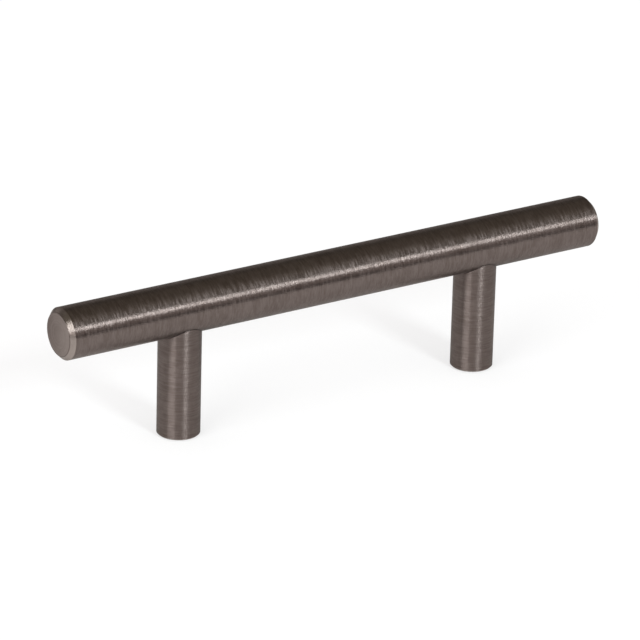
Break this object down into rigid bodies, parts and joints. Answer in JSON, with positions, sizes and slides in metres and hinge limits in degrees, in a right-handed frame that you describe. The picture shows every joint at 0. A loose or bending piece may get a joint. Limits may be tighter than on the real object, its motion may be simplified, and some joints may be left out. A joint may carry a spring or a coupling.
{
  "type": "t-bar cabinet pull",
  "caption": "Round bar pull for a cabinet door or drawer, standing on coped round posts, with a tapped bore in the foot of each post.",
  "frame": {"origin": "on the mounting plane, midway between the axes of the two posts", "axes": "+X along the bar, +Y across it, +Z out of the door from the mounting plane to the bar"},
  "size_m": [0.136, 0.0116, 0.0345],
  "materials": {
    "brushed_gunmetal": "dark nickel plate over fine brushing that runs round each rod",
    "black_oxide_steel": "black oxide"
  },
  "bodies": {
    "root": {"bar": "brushed_gunmetal", "post_left": "brushed_gunmetal", "post_right": "brushed_gunmetal", "set_screw_left": "black_oxide_steel", "set_screw_right": "black_oxide_steel"}
  },
  "joints": []
}
